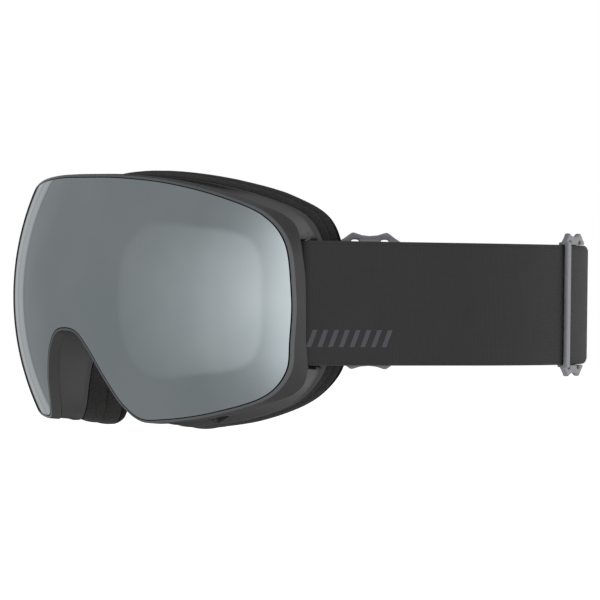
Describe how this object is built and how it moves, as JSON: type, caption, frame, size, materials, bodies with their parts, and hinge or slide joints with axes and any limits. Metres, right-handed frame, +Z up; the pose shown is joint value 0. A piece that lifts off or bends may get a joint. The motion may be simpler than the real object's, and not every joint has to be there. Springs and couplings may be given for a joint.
{
  "type": "ski goggles",
  "caption": "Frameless-look ski goggles with a spherical mirror lens that pulls off, layered face foam, and a wide elastic head strap with sliders.",
  "frame": {"origin": "where the foam meets the forehead, half way between the eyes, level with the middle of the lens", "axes": "+Z up, -Y the way the wearer looks, +X the wearer's left"},
  "size_m": [0.178, 0.2479, 0.0998],
  "materials": {
    "mirror_lens": "polycarbonate with a silver mirror coating",
    "clear_lens": "clear cellulose lens, anti-fog",
    "gasket_foam": "closed-cell gasket foam",
    "rim_plastic": "moulded nylon",
    "frame_plastic": "moulded flexible polyurethane",
    "vent_foam": "thin open-cell foam",
    "face_foam": "open-cell foam",
    "fleece": "brushed fleece",
    "webbing": "woven elastic webbing",
    "silicone": "printed silicone",
    "steel": "drawn wire",
    "magnet": "nickel plated",
    "slider_plastic": "moulded acetal, satin"
  },
  "bodies": {
    "frame": {"front_bezel": "frame_plastic", "rear_frame": "frame_plastic", "vent_foam_top": "vent_foam", "vent_foam_cheek_left": "vent_foam", "vent_foam_cheek_right": "vent_foam", "face_foam_base": "face_foam", "face_foam_middle": "face_foam", "face_foam_fleece": "fleece", "strap_band": "webbing", "strap_return_left": "webbing", "strap_return_right": "webbing", "silicone_grip_1": "silicone", "silicone_grip_2": "silicone", "silicone_grip_3": "silicone", "strap_anchor_pin_left": "steel", "strap_anchor_pin_right": "steel", "frame_magnet_left_1": "magnet", "frame_magnet_right_1": "magnet", "frame_magnet_left_2": "magnet", "frame_magnet_right_2": "magnet", "frame_magnet_left_3": "magnet", "frame_magnet_right_3": "magnet"},
    "lens_unit": {"outer_lens": "mirror_lens", "inner_lens": "clear_lens", "lens_gasket": "gasket_foam", "lens_carrier": "rim_plastic", "lens_magnet_left_1": "magnet", "lens_magnet_right_1": "magnet", "lens_magnet_left_2": "magnet", "lens_magnet_right_2": "magnet", "lens_magnet_left_3": "magnet", "lens_magnet_right_3": "magnet"},
    "slider_left": {"slider_left": "slider_plastic", "strap_end_left": "webbing"},
    "slider_right": {"slider_right": "slider_plastic", "strap_end_right": "webbing"}
  },
  "joints": [
    {"name": "lens_release", "type": "slide", "parent": "frame", "child": "lens_unit", "axis": [0, -1, 0], "range_m": [0, 0.06]},
    {"name": "slider_left_travel", "type": "hinge", "parent": "frame", "child": "slider_left", "pos_m": [-0.047, 0.08238, 0], "axis": [0, 0, 1], "range_deg": [-12, 12]},
    {"name": "slider_right_travel", "type": "hinge", "parent": "frame", "child": "slider_right", "pos_m": [0.047, 0.08238, 0], "axis": [0, 0, 1], "range_deg": [-12, 12]}
  ]
}
